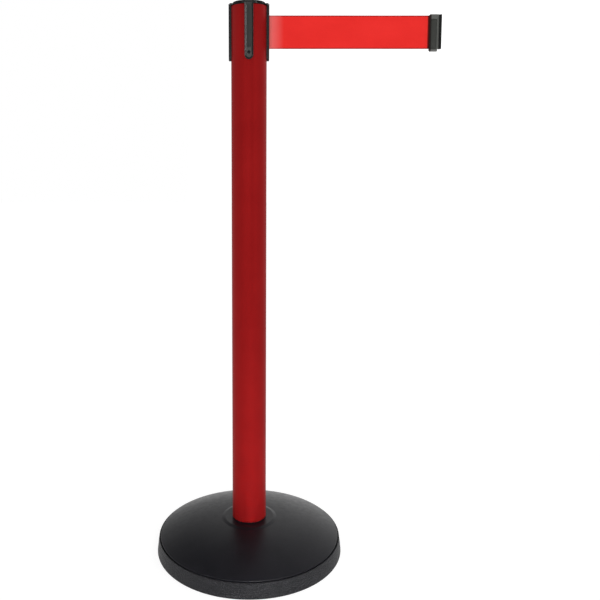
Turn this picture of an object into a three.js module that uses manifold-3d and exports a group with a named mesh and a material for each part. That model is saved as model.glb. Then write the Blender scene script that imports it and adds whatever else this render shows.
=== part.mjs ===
// Retractable belt stanchion: a weighted round base, a tube post, a head with three belt
// receivers and a belt exit, a spring-driven belt spool inside the head, and a belt that is
// drawn out a little way with its end clip.
// Millimetres, +Z up. The origin is on the floor at the post's axis. The belt leaves towards +X.
import * as THREE from "three";
import { mergeVertices } from "three/addons/utils/BufferGeometryUtils.js";
import Module from "manifold-3d";

const wasm = await Module();
wasm.setup();

// ---------------------------------------------------------------- driving dimensions
const GAP = 0.3; // between pieces that touch on the real object
const BASE_RADIUS = 175; // 350 mm base
const TUBE_RADIUS = 31.75; // 2.5 in post
const TUBE_WALL = 1.5;
const TUBE_INSIDE = TUBE_RADIUS - TUBE_WALL - 0.35; // pieces that fit in the tube
const TUBE_FOOT_Z = 61.5;
const TUBE_RIM_Z = 1009;
const CAP_TOP_Z = 1016; // 40 in overall height
const CAP_RADIUS = 30.5;

const RAIL_FACE = 36; // outer face of the head's four rails, from the post's axis
const RAIL_HALF_WIDTH = 7.8;
const RAIL_TOP_Z = 1013;
const RAIL_FOOT_Z = 914;
const RAIL_BODY_HALF = 6.4; // the part that passes through the notch in the tube
const NOTCH_HALF = RAIL_BODY_HALF + GAP;
const SLOT_FLOOR_Z = 935;
const RAIL_SCREW_Z = 926;

const BELT_BOTTOM_Z = 935.7;
const BELT_TOP_Z = 993.8;
const BELT_THICKNESS = 0.6;
const ROLL_RADIUS = 20; // wound belt that is still on the spool
const CLIP_X = 320; // inner end of the belt's end clip
const CLIP_TIP_X = 341.3;
const CLIP_BOTTOM_Z = 931.2;
const CLIP_TOP_Z = 995.5;
const CLIP_HALF_THICKNESS = 4.2;

const AXLE_RADIUS = 3.3;
const CORE_TOP_Z = 931.5; // top of the plug that closes the cassette from below
const BOLT_RADIUS = 6;

const FINE = 48; // segments round the base
const MEDIUM = 40; // round the post and the spool
const COARSE = 20; // round screws, pins and bores

// ---------------------------------------------------------------- materials
const surface = (color, roughness, metalness) => ({ color, roughness, metalness });
const RED_PAINT = surface(0x9c1b1e, 0.38, 0.1);
const RED_WEBBING = surface(0xe8302b, 0.75, 0);
const BLACK_PLASTIC = surface(0x17181a, 0.42, 0);
const GREY_PLASTIC = surface(0x3d3e3c, 0.5, 0);
const COVER_PLASTIC = surface(0x26262a, 0.45, 0);
const RUBBER = surface(0x2c2d2f, 0.85, 0);
const CAST_IRON = surface(0x45474a, 0.75, 0.7);
const STEEL = surface(0xb4b7ba, 0.32, 0.95);
const SPRING_STEEL = surface(0x6b7078, 0.35, 0.9);
const WHITE_NYLON = surface(0xe6e4dc, 0.55, 0);

const stanchion = new THREE.Group();

function add(name, geometry, look) {
  const mesh = new THREE.Mesh(geometry, new THREE.MeshStandardMaterial(look));
  mesh.name = name;
  stanchion.add(mesh);
  return mesh;
}

// ---------------------------------------------------------------- shape helpers
// A closed geometry as a solid that can be joined and cut.
function solid(geometry) {
  const bare = new THREE.BufferGeometry();
  const flat = geometry.index ? geometry.toNonIndexed() : geometry;
  bare.setAttribute("position", flat.getAttribute("position"));
  const merged = mergeVertices(bare, 1e-4);
  return new wasm.Manifold(
    new wasm.Mesh({
      numProp: 3,
      vertProperties: merged.attributes.position.array,
      triVerts: new Uint32Array(merged.index.array),
    }),
  );
}

function geometryOf(body) {
  const mesh = body.getMesh();
  const geometry = new THREE.BufferGeometry();
  geometry.setAttribute("position", new THREE.BufferAttribute(mesh.vertProperties, 3));
  geometry.setIndex(new THREE.BufferAttribute(mesh.triVerts, 1));
  geometry.computeVertexNormals();
  return geometry;
}

const joined = (bodies) => bodies.reduce((whole, body) => whole.add(body));
const cut = (body, tools) => tools.reduce((rest, tool) => rest.subtract(tool), body);

// A profile of [radius, z] points turned about +Z; anticlockwise, outer side going up.
function turned(profile, segments) {
  const points = profile.map(([r, z]) => new THREE.Vector2(r, z));
  return new THREE.LatheGeometry(points, segments).rotateX(Math.PI / 2);
}

// A tube or washer with square ends.
function ring(inner, outer, low, high, segments) {
  const profile = [
    [inner, low],
    [outer, low],
    [outer, high],
    [inner, high],
    [inner, low],
  ];
  return turned(profile, segments);
}

function disc(radius, low, high, segments = COARSE) {
  const profile = [
    [0, low],
    [radius, low],
    [radius, high],
    [0, high],
  ];
  return turned(profile, segments);
}

// A disc whose axis lies along +X.
const plugAlongX = (radius, from, to, z) =>
  disc(radius, from, to).rotateY(Math.PI / 2).translate(0, 0, z);

function block(x0, x1, y0, y1, z0, z1) {
  const box = new THREE.BoxGeometry(x1 - x0, y1 - y0, z1 - z0);
  return box.translate((x0 + x1) / 2, (y0 + y1) / 2, (z0 + z1) / 2);
}

const outline = (points) => new THREE.Shape(points.map(([x, y]) => new THREE.Vector2(x, y)));

// An [x, y] shape raised from low to high.
function raised(shape, low, high, segments = COARSE) {
  const options = { depth: high - low, bevelEnabled: false, curveSegments: segments };
  return new THREE.ExtrudeGeometry(shape, options).translate(0, 0, low);
}

// A shape in [y, z] pushed along +X from one x to another.
function alongX(shape, from, to) {
  const geometry = raised(shape, from, to, 10);
  const turn = new THREE.Matrix4().makeBasis(
    new THREE.Vector3(0, 1, 0),
    new THREE.Vector3(0, 0, 1),
    new THREE.Vector3(1, 0, 0),
  );
  return geometry.applyMatrix4(turn);
}

// A strip with a half-round foot, in [y, z]: the outline of a rail, its notch and its recess.
function roundFooted(halfWidth, foot, top) {
  const shape = new THREE.Shape();
  shape.moveTo(halfWidth, top);
  shape.lineTo(-halfWidth, top);
  shape.lineTo(-halfWidth, foot + halfWidth);
  shape.absarc(0, foot + halfWidth, halfWidth, Math.PI, 2 * Math.PI, false);
  shape.closePath();
  return shape;
}

// Part of a ring, between two angles in degrees.
function arcBand(inner, outer, from, to) {
  const shape = new THREE.Shape();
  const start = THREE.MathUtils.degToRad(from);
  const end = THREE.MathUtils.degToRad(to);
  shape.absarc(0, 0, outer, start, end, false);
  shape.absarc(0, 0, inner, end, start, true);
  shape.closePath();
  return shape;
}

// A flat strip of even thickness that follows [x, y] points, seen from above.
function ribbon(points, thickness) {
  const sides = [[], []];
  points.forEach(([x, y], i) => {
    const [ax, ay] = points[Math.max(i - 1, 0)];
    const [bx, by] = points[Math.min(i + 1, points.length - 1)];
    const length = Math.hypot(bx - ax, by - ay);
    const nx = (-(by - ay) / length) * (thickness / 2);
    const ny = ((bx - ax) / length) * (thickness / 2);
    sides[0].push([x - nx, y - ny]);
    sides[1].unshift([x + nx, y + ny]);
  });
  return outline(sides.flat());
}

// ---------------------------------------------------------------- base
const FLOOR_FLANGE = 3; // thickness of the ring's foot under the weight
const RING_INNER = 169.3;
const RING_TOP_Z = 29.4;
const HUB_RADIUS = 47.2;
const HUB_TOP_Z = 60;
const HUB_BORE = 13; // hole in the cover's hub for the bolt and the weight's boss
const COVER_RADIUS = 169;
const COVER_FOOT_Z = 16.6;
const COVER_WALL = 2;
const BOLT_HOLE = BOLT_RADIUS + 0.5;
const RECESS_RADIUS = 16;

function floorRing() {
  return turned(
    [
      [148, 0],
      [172.8, 0],
      [174.4, 0.7],
      [BASE_RADIUS, 2.2],
      [173.6, 14],
      [171.9, 25.9],
      [171.2, 28.5],
      [170.3, RING_TOP_Z],
      [169.7, 29.2],
      [RING_INNER, 28.6],
      [RING_INNER, FLOOR_FLANGE],
      [148, FLOOR_FLANGE],
      [148, 0],
    ],
    FINE,
  );
}

// Height of the cover's dome at a radius: almost flat at the hub, steep at the rim.
const domeHeight = (r) => 59.6 - 29.8 * (r / 170) ** 2.72;

function baseCover() {
  const outer = [168, 162, 152, 138, 120, 98, 74, 48.6].map((r) => [r, domeHeight(r)]);
  const inner = [60, 100, 135, 160].map((r) => [r, domeHeight(r) - COVER_WALL - 0.6]);
  const inside = COVER_RADIUS - COVER_WALL;
  const underHub = HUB_TOP_Z - COVER_WALL - 0.7;
  return turned(
    [
      [inside, COVER_FOOT_Z],
      [COVER_RADIUS, COVER_FOOT_Z],
      [COVER_RADIUS, 29.3],
      ...outer,
      [HUB_RADIUS, HUB_TOP_Z],
      [HUB_BORE, HUB_TOP_Z],
      [HUB_BORE, underHub],
      [46, underHub],
      ...inner,
      [inside, 27],
      [inside, COVER_FOOT_Z],
    ],
    FINE,
  );
}

// A heavy disc with a boss in its middle that carries the post, and a recess for the bolt's head.
function baseWeight() {
  const low = FLOOR_FLANGE + GAP;
  const rim = RING_INNER - 0.6;
  const boss = 27;
  const bossTop = HUB_TOP_Z - COVER_WALL - 1.1;
  const recessTop = 17.7;
  return turned(
    [
      [RECESS_RADIUS, low],
      [rim, low],
      [rim, 13],
      [120, 17.5],
      [60, 21],
      [boss + 5, 25],
      [boss, 31],
      [boss, bossTop],
      [BOLT_HOLE, bossTop],
      [BOLT_HOLE, recessTop],
      [RECESS_RADIUS, recessTop],
      [RECESS_RADIUS, low],
    ],
    FINE,
  );
}

function boltCoverPlug() {
  return turned(
    [
      [0, 0],
      [14.6, 0],
      [15.5, 0.9],
      [15.5, 3.8],
      [0, 3.8],
    ],
    COARSE,
  );
}

function anchorBolt() {
  const head = new THREE.CylinderGeometry(10.4, 10.4, 7.4, 6).rotateX(Math.PI / 2);
  head.translate(0, 0, 8.1);
  return geometryOf(joined([solid(head), solid(disc(BOLT_RADIUS, 10, 84))]));
}

add("floor_ring", floorRing(), RUBBER);
add("base_weight", baseWeight(), CAST_IRON);
add("base_cover", baseCover(), COVER_PLASTIC);
add("bolt_cover_plug", boltCoverPlug(), RUBBER);
add("anchor_bolt", anchorBolt(), STEEL);
add("spring_washer", raised(arcBand(6.4, 10.4, 4, 356), 12.1, 14.8), SPRING_STEEL);
add("flat_washer", ring(6.4, 12.5, 15.1, 17.4, COARSE), STEEL);
add("post_collar", ring(HUB_BORE, 31.2, HUB_TOP_Z + GAP, TUBE_FOOT_Z - GAP, MEDIUM), BLACK_PLASTIC);
add("foot_insert", ring(BOLT_HOLE, TUBE_INSIDE, TUBE_FOOT_Z + GAP, 92, MEDIUM), CAST_IRON);

// ---------------------------------------------------------------- post tube
const QUARTERS = [0, 90, 180, 270]; // directions of the four rails, from +X

function postTube() {
  const wall = ring(TUBE_RADIUS - TUBE_WALL, TUBE_RADIUS, TUBE_FOOT_Z, TUBE_RIM_Z, MEDIUM);
  const foot = RAIL_FOOT_Z + RAIL_HALF_WIDTH - NOTCH_HALF;
  const notch = roundFooted(NOTCH_HALF, foot, TUBE_RIM_Z + 5);
  const notches = QUARTERS.map((angle) =>
    solid(alongX(notch, 15, 45).rotateZ(THREE.MathUtils.degToRad(angle))),
  );
  return geometryOf(cut(solid(wall), notches));
}

add("post_tube", postTube(), RED_PAINT);

// ---------------------------------------------------------------- head rails
const CHAMBER = { from: 27.6, to: 32.8, half: 5.3 }; // holds the head of a clip's T
const NECK_HALF = 3.7; // the slot between the rail's lips
const BODY_BACK = 25.2;
const CHANNEL_HALF = 3.9; // floor of the shallow channel down the middle of the rail's face
const CHANNEL_MOUTH_HALF = 7; // the same channel where it breaks the face
const CHANNEL_FLOOR = 34.8;
const SCREW_SEAT = 32.1;
const SCREW_SEAT_RADIUS = 2.9;
const SCREW_HOLE_RADIUS = 2.25;
const SCREW_TOP = 34.2;
const SCREW_END = 23;
const MOUTH_LOW_Z = 1005; // where the slot starts to flare
const MOUTH_HALF = 8.4;
const BLOCK_HALF = 14; // the flared block above the tube's rim
const BLOCK_LOW_Z = TUBE_RIM_Z + GAP;

// A rail on the +X side, still closed: a face plate with a round foot, the body that passes
// through the tube, and the wider block over the rim.
function closedRail() {
  const edge = 1.3; // chamfer along the plate's long edges
  const plan = outline([
    [30, -RAIL_HALF_WIDTH],
    [RAIL_FACE - edge, -RAIL_HALF_WIDTH],
    [RAIL_FACE, edge - RAIL_HALF_WIDTH],
    [RAIL_FACE, RAIL_HALF_WIDTH - edge],
    [RAIL_FACE - edge, RAIL_HALF_WIDTH],
    [30, RAIL_HALF_WIDTH],
  ]);
  const front = roundFooted(RAIL_HALF_WIDTH, RAIL_FOOT_Z, RAIL_TOP_Z);
  const plate = solid(raised(plan, RAIL_FOOT_Z - 1, RAIL_TOP_Z))
    .intersect(solid(alongX(front, 20, 40)))
    .subtract(solid(disc(TUBE_RADIUS + GAP, 900, BLOCK_LOW_Z, 2 * MEDIUM)));
  const foot = RAIL_FOOT_Z + RAIL_HALF_WIDTH - RAIL_BODY_HALF;
  const plug = solid(alongX(roundFooted(RAIL_BODY_HALF, foot, 940), 30.4, RAIL_FACE - 1));
  const low = CORE_TOP_Z + 0.5;
  const half = RAIL_BODY_HALF;
  const body = solid(block(BODY_BACK, RAIL_FACE - 1, -half, half, low, RAIL_TOP_Z));
  const angle = THREE.MathUtils.radToDeg(Math.asin(BLOCK_HALF / RAIL_FACE));
  const rimBlock = solid(
    raised(arcBand(CAP_RADIUS + 0.4, RAIL_FACE, -angle, angle), BLOCK_LOW_Z, RAIL_TOP_Z, 8),
  );
  return joined([plate, plug, body, rimBlock]);
}

// The long shallow channel in a rail's face: sloping sides and a round foot.
function channel() {
  const face = RAIL_FACE + GAP; // just past the face, so that the cut is clean
  const slope = (CHANNEL_MOUTH_HALF - CHANNEL_HALF) / (RAIL_FACE - CHANNEL_FLOOR);
  const mouthHalf = CHANNEL_MOUTH_HALF + slope * GAP;
  const footCentre = RAIL_FOOT_Z + RAIL_HALF_WIDTH;
  const plan = outline([
    [CHANNEL_FLOOR, -CHANNEL_HALF],
    [face, -mouthHalf],
    [face, mouthHalf],
    [CHANNEL_FLOOR, CHANNEL_HALF],
  ]);
  const foot = new THREE.CylinderGeometry(mouthHalf, CHANNEL_HALF, face - CHANNEL_FLOOR, MEDIUM);
  foot.rotateZ(-Math.PI / 2).translate((face + CHANNEL_FLOOR) / 2, 0, footCentre);
  return solid(raised(plan, footCentre, RAIL_TOP_Z + 1)).add(solid(foot));
}

// The channel and the stepped hole for the rail's screw.
function faceCuts() {
  return [
    channel(),
    solid(plugAlongX(SCREW_SEAT_RADIUS, SCREW_SEAT, 40, RAIL_SCREW_Z)),
    solid(plugAlongX(SCREW_HOLE_RADIUS, 28, SCREW_SEAT + 1, RAIL_SCREW_Z)),
  ];
}

// Slot for another post's clip: a wide chamber, a neck between two lips, and a flared mouth.
function receiver() {
  const high = RAIL_TOP_Z + 1;
  const { from, to, half } = CHAMBER;
  const mouth = outline([
    [NECK_HALF, MOUTH_LOW_Z],
    [MOUTH_HALF, high],
    [-MOUTH_HALF, high],
    [-NECK_HALF, MOUTH_LOW_Z],
  ]);
  return cut(closedRail(), [
    solid(block(from, to, -half, half, SLOT_FLOOR_Z, high)),
    solid(block(to - 1, 40, -NECK_HALF, NECK_HALF, SLOT_FLOOR_Z, high)),
    solid(alongX(mouth, to - 1, 40)),
    ...faceCuts(),
  ]);
}

// The belt's own way out: a tapered throat and a narrow slot with eased lips.
function beltExit() {
  const low = BELT_BOTTOM_Z - 1.2;
  const high = BELT_TOP_Z + 1.2;
  const throat = outline([
    [BODY_BACK - 1, -5.9],
    [29.2, -2],
    [34.4, -2],
    [RAIL_FACE + 1, -4.2],
    [RAIL_FACE + 1, 4.2],
    [34.4, 2],
    [29.2, 2],
    [BODY_BACK - 1, 5.9],
  ]);
  return cut(closedRail(), [solid(raised(throat, low, high)), ...faceCuts()]);
}

function railScrew() {
  const head = solid(plugAlongX(2.55, SCREW_SEAT + GAP, SCREW_TOP, RAIL_SCREW_Z));
  const shank = solid(plugAlongX(1.9, SCREW_END, SCREW_SEAT + 1, RAIL_SCREW_Z));
  const socket = new THREE.CylinderGeometry(1.4, 1.4, 2.2, 6).rotateZ(Math.PI / 2);
  socket.translate(SCREW_TOP, 0, RAIL_SCREW_Z);
  return head.add(shank).subtract(solid(socket));
}

const RAILS = [
  { name: "belt_exit_rail", screw: "rail_screw_exit", angle: 0, body: beltExit() },
  { name: "receiver_back", screw: "rail_screw_back", angle: 90, body: receiver() },
  { name: "receiver_left", screw: "rail_screw_left", angle: 180, body: receiver() },
  { name: "receiver_front", screw: "rail_screw_front", angle: 270, body: receiver() },
];
for (const { name, screw, angle, body } of RAILS) {
  const turn = THREE.MathUtils.degToRad(angle);
  add(name, geometryOf(body).rotateZ(turn), BLACK_PLASTIC);
  add(screw, geometryOf(railScrew()).rotateZ(turn), STEEL);
}

// ---------------------------------------------------------------- head cap and cassette
const SCREW_SHANK = 1.75;

function topCap() {
  const low = BLOCK_LOW_Z;
  const profile = [
    [2.3, low],
    [TUBE_INSIDE - 1.7, low],
    [TUBE_INSIDE - 1.7, 1001],
    [TUBE_INSIDE, 1001],
    [TUBE_INSIDE, low],
    [CAP_RADIUS, low],
    [CAP_RADIUS, CAP_TOP_Z - 3],
    [CAP_RADIUS - 0.4, CAP_TOP_Z - 1.5],
    [CAP_RADIUS - 1.5, CAP_TOP_Z - 0.4],
    [CAP_RADIUS - 3, CAP_TOP_Z],
    [4.8, CAP_TOP_Z],
    [2.3, CAP_TOP_Z - 2.5],
    [2.3, low],
  ];
  const half = RAIL_BODY_HALF + 0.4;
  const notches = QUARTERS.map((angle) =>
    solid(
      block(BODY_BACK - GAP, 40, -half, half, 1000, CAP_TOP_Z + 1).rotateZ(
        THREE.MathUtils.degToRad(angle),
      ),
    ),
  );
  return geometryOf(cut(solid(turned(profile, MEDIUM)), notches));
}

function capScrew() {
  const body = turned(
    [
      [0, 1006],
      [SCREW_SHANK, 1006],
      [SCREW_SHANK, CAP_TOP_Z - 2.7],
      [4.3, CAP_TOP_Z - 0.3],
      [0, CAP_TOP_Z - 0.3],
    ],
    COARSE,
  );
  const socket = new THREE.CylinderGeometry(1.5, 1.5, 3, 6).rotateX(Math.PI / 2);
  socket.translate(0, 0, CAP_TOP_Z);
  return geometryOf(solid(body).subtract(solid(socket)));
}

// A plug in the tube below the cassette: it carries the axle and takes the rails' screws.
function headCore() {
  const bore = AXLE_RADIUS + GAP;
  const plug = turned(
    [
      [0, 912],
      [TUBE_INSIDE, 912],
      [TUBE_INSIDE, CORE_TOP_Z],
      [bore, CORE_TOP_Z],
      [bore, 920],
      [0, 920],
    ],
    MEDIUM,
  );
  const holes = QUARTERS.map((angle) =>
    solid(
      plugAlongX(SCREW_HOLE_RADIUS, SCREW_END - 0.5, TUBE_INSIDE + 1, RAIL_SCREW_Z).rotateZ(
        THREE.MathUtils.degToRad(angle),
      ),
    ),
  );
  return geometryOf(cut(solid(plug), holes));
}

// The fixed axle, with a slit near its top for the inner end of the spring.
function spoolAxle() {
  const bore = SCREW_SHANK + GAP;
  const pin = turned(
    [
      [0, 920.4],
      [AXLE_RADIUS, 920.4],
      [AXLE_RADIUS, TUBE_RIM_Z],
      [bore, TUBE_RIM_Z],
      [bore, 996],
      [0, 996],
    ],
    COARSE,
  );
  return geometryOf(solid(pin).subtract(solid(block(-5, 5, -0.7, 0.7, 996.4, 1005))));
}

add("top_cap", topCap(), BLACK_PLASTIC);
add("cap_screw", capScrew(), STEEL);
add("head_core", headCore(), GREY_PLASTIC);
add("spool_axle", spoolAxle(), STEEL);
add("cassette_shell", raised(arcBand(23.6, 24.8, 26, 346), 932, 1008.3, 30), GREY_PLASTIC);

// ---------------------------------------------------------------- belt spool
const DRUM_RADIUS = 8.6;
const FLANGE_RADIUS = 22.6;
const DRUM_LOW_Z = 934.3;
const CUP_INNER = 20.8;
const CUP_FLOOR_Z = 995.9;
const CUP_RIM_Z = 1006;
const DRUM_BORE = 5.8;
const BUSH_OUTER = DRUM_BORE - GAP;
const BUSH_INNER = AXLE_RADIUS + 0.35;

// A flanged drum for the belt, with a cup on top that holds the spring.
function spoolDrum() {
  const rollTop = BELT_TOP_Z + 0.5;
  return turned(
    [
      [DRUM_BORE, DRUM_LOW_Z],
      [FLANGE_RADIUS, DRUM_LOW_Z],
      [FLANGE_RADIUS, DRUM_LOW_Z + 1],
      [DRUM_RADIUS, DRUM_LOW_Z + 1],
      [DRUM_RADIUS, rollTop],
      [FLANGE_RADIUS, rollTop],
      [FLANGE_RADIUS, CUP_RIM_Z],
      [CUP_INNER, CUP_RIM_Z],
      [CUP_INNER, CUP_FLOOR_Z],
      [DRUM_BORE, CUP_FLOOR_Z],
      [DRUM_BORE, DRUM_LOW_Z],
    ],
    MEDIUM,
  );
}

// A flat spiral of spring steel: its inner tab sits in the axle's slit, its outer end at the cup.
function powerSpring() {
  const turns = 6;
  const perTurn = 16;
  const first = 4.6;
  const last = CUP_INNER - 1;
  const path = [
    [2.4, 0],
    [4.3, 0],
  ];
  for (let i = 1; i <= turns * perTurn; i += 1) {
    const angle = (2 * Math.PI * i) / perTurn;
    const radius = first + ((last - first) * i) / (turns * perTurn);
    path.push([radius * Math.cos(angle), radius * Math.sin(angle)]);
  }
  return raised(ribbon(path, 0.6), CUP_FLOOR_Z + 1.1, CUP_RIM_Z - 1.6);
}

add("thrust_washer", ring(BUSH_INNER, 8, 932, DRUM_LOW_Z - GAP, COARSE), WHITE_NYLON);
add("spool_drum", spoolDrum(), GREY_PLASTIC);
add("lower_bush", ring(BUSH_INNER, BUSH_OUTER, DRUM_LOW_Z, 946, COARSE), WHITE_NYLON);
add("upper_bush", ring(BUSH_INNER, BUSH_OUTER, 984, CUP_FLOOR_Z, COARSE), WHITE_NYLON);
add(
  "belt_roll",
  ring(DRUM_RADIUS + GAP, ROLL_RADIUS, BELT_BOTTOM_Z, BELT_TOP_Z, MEDIUM),
  RED_WEBBING,
);
add("power_spring", powerSpring(), SPRING_STEEL);
add("spring_cover", ring(5, 22.4, CUP_RIM_Z + 0.4, CUP_RIM_Z + 1.4, MEDIUM), GREY_PLASTIC);

// ---------------------------------------------------------------- belt and end clip
const BELT_END_X = 328.4;
const PIN_X = 330; // pin that the belt's end is looped on
const PANEL = { x0: 322.4, x1: 332.8, z0: 935, z1: 987.4 }; // pocket for the clip's cover
const T_HALF = 5;
const T_FOOT_Z = SLOT_FLOOR_Z + 0.4;

// The belt leaves the roll at a tangent, turns at the throat and runs straight out along +X.
function beltWeb() {
  const bend = [28.5, 1];
  const wrap = ROLL_RADIUS + GAP + BELT_THICKNESS / 2;
  const reach = Math.hypot(...bend);
  const angle = Math.atan2(bend[1], bend[0]) + Math.acos(wrap / reach);
  const start = [wrap * Math.cos(angle), wrap * Math.sin(angle)];
  const path = [start, bend, [31.5, 0], [BELT_END_X, 0]];
  return raised(ribbon(path, BELT_THICKNESS), BELT_BOTTOM_Z, BELT_TOP_Z);
}

// Plan of the clip: a flat body, a taper down to the neck, and the head of the T at the tip.
function clipPlan() {
  const t = CLIP_HALF_THICKNESS;
  const half = [
    [CLIP_X, t],
    [333, t],
    [337, 2.4],
    [337.7, 2.4],
    [337.7, T_HALF],
    [CLIP_TIP_X - 1, T_HALF],
    [CLIP_TIP_X, T_HALF - 1],
  ];
  return outline([...half.map(([x, y]) => [x, -y]), ...half.reverse()]);
}

// End view of the clip, with a bevel along its top edges and a larger one along its foot.
function clipEnd() {
  const t = CLIP_HALF_THICKNESS;
  const half = [
    [t - 2.2, CLIP_BOTTOM_Z],
    [t, CLIP_BOTTOM_Z + 2.2],
    [T_HALF + 0.1, CLIP_BOTTOM_Z + 3],
    [T_HALF + 0.1, CLIP_TOP_Z - 2],
    [t, CLIP_TOP_Z - 1.1],
    [t - 1.1, CLIP_TOP_Z],
  ];
  return outline([...half, ...half.map(([y, z]) => [-y, z]).reverse()]);
}

function clipBody() {
  const plan = solid(raised(clipPlan(), CLIP_BOTTOM_Z, CLIP_TOP_Z));
  const whole = plan.intersect(solid(alongX(clipEnd(), CLIP_X - 1, CLIP_TIP_X + 1)));
  const slotLow = BELT_BOTTOM_Z - 0.4;
  const slotHigh = BELT_TOP_Z + 0.4;
  const { x0, x1, z0, z1 } = PANEL;
  return geometryOf(
    cut(whole, [
      solid(block(334.2, 350, -10, 10, CLIP_BOTTOM_Z - 1, T_FOOT_Z)),
      solid(block(CLIP_X - 1, 331.2, -0.75, 0.75, slotLow, slotHigh)),
      solid(disc(1.6, z0, z1).translate(PIN_X, 0, 0)),
      solid(block(x0, x1, -10, -0.6, z0, z1)),
    ]),
  );
}

function clipCover() {
  const { x0, x1, z0, z1 } = PANEL;
  return block(x0 + GAP, x1 - GAP, -3.4, -1.9, z0 + GAP, z1 - GAP);
}

add("belt_web", beltWeb(), RED_WEBBING);
add("belt_pin", disc(1.2, PANEL.z0 + GAP, PANEL.z1 - GAP).translate(PIN_X, 0, 0), STEEL);
add("clip_body", clipBody(), BLACK_PLASTIC);
add("clip_cover", clipCover(), GREY_PLASTIC);

export default stanchion;
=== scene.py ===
"""Looks of the retractable belt stanchion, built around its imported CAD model.

The shapes are worked out in millimetres and stored in metres. The post stands on the origin, the
belt leaves towards +X, and the camera is on the -Y side.
"""

import math

import bmesh
import bpy
import numpy as np
from mathutils import Matrix, Vector


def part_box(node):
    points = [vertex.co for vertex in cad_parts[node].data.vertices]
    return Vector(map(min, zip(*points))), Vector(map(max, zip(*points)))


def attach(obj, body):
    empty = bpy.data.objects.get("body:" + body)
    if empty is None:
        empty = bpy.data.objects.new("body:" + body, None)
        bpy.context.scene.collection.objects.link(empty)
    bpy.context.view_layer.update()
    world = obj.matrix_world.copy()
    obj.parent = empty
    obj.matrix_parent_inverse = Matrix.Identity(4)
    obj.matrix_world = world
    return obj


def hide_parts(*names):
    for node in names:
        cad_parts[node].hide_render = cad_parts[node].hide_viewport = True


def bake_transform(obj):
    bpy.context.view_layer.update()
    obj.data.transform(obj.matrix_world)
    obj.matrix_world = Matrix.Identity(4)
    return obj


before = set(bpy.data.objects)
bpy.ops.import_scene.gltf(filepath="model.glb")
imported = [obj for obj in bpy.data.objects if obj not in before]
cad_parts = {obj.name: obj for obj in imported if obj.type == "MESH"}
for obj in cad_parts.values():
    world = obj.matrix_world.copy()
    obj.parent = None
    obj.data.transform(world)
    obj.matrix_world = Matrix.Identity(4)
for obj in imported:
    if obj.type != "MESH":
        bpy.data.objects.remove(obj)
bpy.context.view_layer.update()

MM = 0.001
X, Y, Z = 0, 1, 2
FINE = 192  # segments round the base and the post
COARSE = 48  # segments round screws and pins
SHARP_ANGLE = math.radians(32)
STRIP_SHARP_ANGLE = math.radians(60)  # for thin strips, so that their curves stay smooth


def span(node, axis):
    """Lowest and highest coordinate of a CAD node along one axis, in millimetres."""
    low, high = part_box(node)
    return low[axis] / MM, high[axis] / MM


# ------------------------------------------------------------------ driving dimensions
BASE_RADIUS = span("floor_ring", X)[1]
RING_TOP = span("floor_ring", Z)[1]
COVER_RADIUS = span("base_cover", X)[1]
COVER_LOW, HUB_TOP = span("base_cover", Z)
TUBE_RADIUS = span("post_tube", X)[1]
TUBE_FOOT, TUBE_RIM = span("post_tube", Z)
TUBE_WALL = 1.5
RAIL_BACK, RAIL_FACE = span("belt_exit_rail", X)
RAIL_FOOT, RAIL_TOP = span("belt_exit_rail", Z)
CORE_TOP = span("head_core", Z)[1]
CAP_RADIUS = span("top_cap", X)[1]
CAP_SKIRT, CAP_TOP = span("top_cap", Z)
BELT_LOW, BELT_HIGH = span("belt_web", Z)
BELT_END = span("belt_web", X)[1]
CLIP_START, CLIP_TIP = span("clip_body", X)
CLIP_LOW, CLIP_HIGH = span("clip_body", Z)
PANEL_X = span("clip_cover", X)
PANEL_Z = span("clip_cover", Z)
PANEL_FACE = span("clip_cover", Y)[0]
PIN_X = sum(span("belt_pin", X)) / 2

RAIL_HALF = 7.8
RAIL_BODY_HALF = 6.4  # the part that goes through the notch in the tube
CHANNEL_DEPTH = 1.2  # of the long channel in a rail's face
SLOT_FLOOR = 935.0  # where another post's clip comes to rest
RAIL_SCREW_Z = 926.0

CLIP_HALF = 4.2
T_HALF = 5.0
T_THICKNESS = 3.6
T_NECK_HALF = 2.4
T_FOOT = SLOT_FLOOR + 0.4


# ------------------------------------------------------------------ lines and outlines
def rounded(corners, closed=True, steps=5):
    """A line through (x, y) or (x, y, radius) corners, with an arc at each corner that has a radius."""
    line = []
    for i, corner in enumerate(corners):
        here = Vector(corner[:2])
        radius = corner[2] if len(corner) > 2 else 0
        is_end = not closed and i in (0, len(corners) - 1)
        if not radius or is_end:
            line.append(tuple(here))
            continue
        back = (Vector(corners[i - 1][:2]) - here).normalized()
        ahead = (Vector(corners[(i + 1) % len(corners)][:2]) - here).normalized()
        half = back.angle(ahead) / 2
        centre = here + (back + ahead).normalized() * (radius / math.sin(half))
        first = here + back * (radius / math.tan(half)) - centre
        last = here + ahead * (radius / math.tan(half)) - centre
        turn = math.atan2(first.x * last.y - first.y * last.x, first.dot(last))
        start = math.atan2(first.y, first.x)
        for step in range(steps + 1):
            angle = start + turn * step / steps
            line.append((centre.x + radius * math.cos(angle), centre.y + radius * math.sin(angle)))
    return line


def round_footed(half, foot, top, corner=0.0, steps=16):
    """A strip with a half-round foot, as (across, height) points going anticlockwise."""
    centre = foot + half
    arc = []
    for step in range(steps + 1):
        angle = math.pi + math.pi * step / steps
        arc.append((half * math.cos(angle), centre + half * math.sin(angle)))
    return arc + rounded([(half, centre), (half, top, corner), (-half, top, corner), (-half, centre)],
                         closed=False)[1:-1]


def hexagon(radius):
    return [(radius * math.cos(i * math.pi / 3), radius * math.sin(i * math.pi / 3))
            for i in range(6)]


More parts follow.
